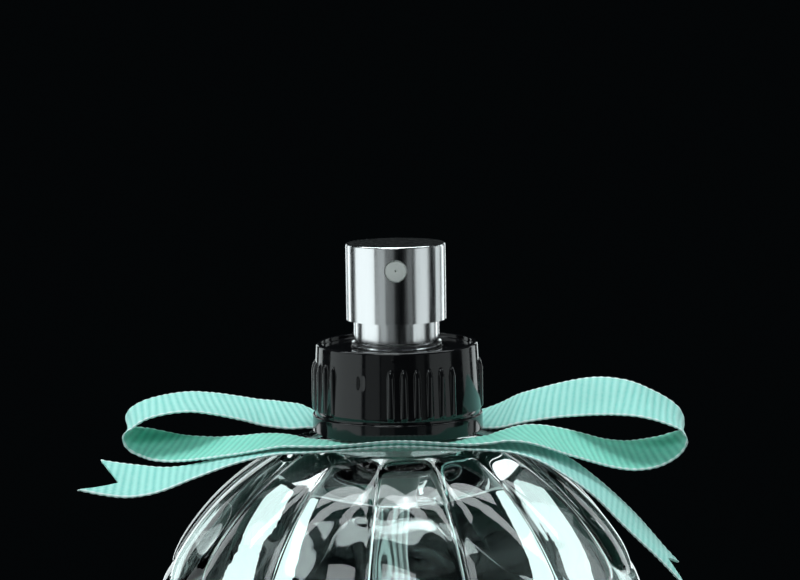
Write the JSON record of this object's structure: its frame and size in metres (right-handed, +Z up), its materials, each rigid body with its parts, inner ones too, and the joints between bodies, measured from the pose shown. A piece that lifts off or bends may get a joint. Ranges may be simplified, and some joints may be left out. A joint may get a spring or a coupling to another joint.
{
  "type": "perfume atomiser",
  "caption": "Round lobed clear-glass perfume bottle with a crimped press-down spray pump, a ribbed black collar and a flat mint ribbon bow under the collar.",
  "frame": {"origin": "centre of the flat base that the bottle stands on", "axes": "+Z up the bottle's axis; the nozzle sprays towards -Y; +X is to the right seen from the nozzle side"},
  "size_m": [0.0846, 0.0736, 0.0926],
  "materials": {
    "clear_glass": "polished",
    "perfume": "gloss",
    "clear_plastic": "gloss",
    "natural_plastic": "satin",
    "steel": "satin",
    "rubber": "matte",
    "white_gasket": "matte",
    "bright_aluminium": "polished",
    "black_gloss": "gloss",
    "nozzle_white": "satin",
    "mint_ribbon": "satin"
  },
  "bodies": {
    "bottle": {"glass_bottle": "clear_glass", "perfume_fill": "perfume", "dip_tube": "clear_plastic", "pump_housing": "natural_plastic", "return_spring": "steel", "housing_retainer": "natural_plastic", "stem_gasket": "rubber", "neck_gasket": "white_gasket", "crimp_ferrule": "bright_aluminium", "collar": "black_gloss", "ribbon_loop_left": "mint_ribbon", "ribbon_loop_right": "mint_ribbon", "ribbon_tail_left": "mint_ribbon", "ribbon_tail_right": "mint_ribbon"},
    "plunger": {"plunger_rod": "natural_plastic"},
    "spray_head": {"pump_stem": "natural_plastic", "actuator_insert": "natural_plastic", "actuator_shell": "bright_aluminium", "nozzle_insert": "nozzle_white"},
    "piston": {"piston": "natural_plastic", "precompression_spring": "steel"},
    "inlet_ball": {"inlet_ball": "steel"}
  },
  "joints": [
    {"name": "actuator_press", "type": "slide", "parent": "bottle", "child": "plunger", "axis": [0, 0, -1], "range_m": [0, 0.0036], "stiffness_N_per_m": 1200, "springref_m": -0.004, "deforming": ["return_spring"]},
    {"name": "actuator_turn", "type": "hinge", "parent": "plunger", "child": "spray_head", "pos_m": [0, 0, 0.08], "axis": [0, 0, 1], "continuous": true},
    {"name": "piston_slide", "type": "slide", "parent": "bottle", "child": "piston", "axis": [0, 0, -1], "range_m": [0, 0.00342]},
    {"name": "inlet_ball_lift", "type": "slide", "parent": "bottle", "child": "inlet_ball", "axis": [0, 0, 1], "range_m": [0, 0.0008]}
  ],
  "couplings": [
    {"joint": "piston_slide", "follows": "actuator_press", "ratio": 0.95}
  ]
}
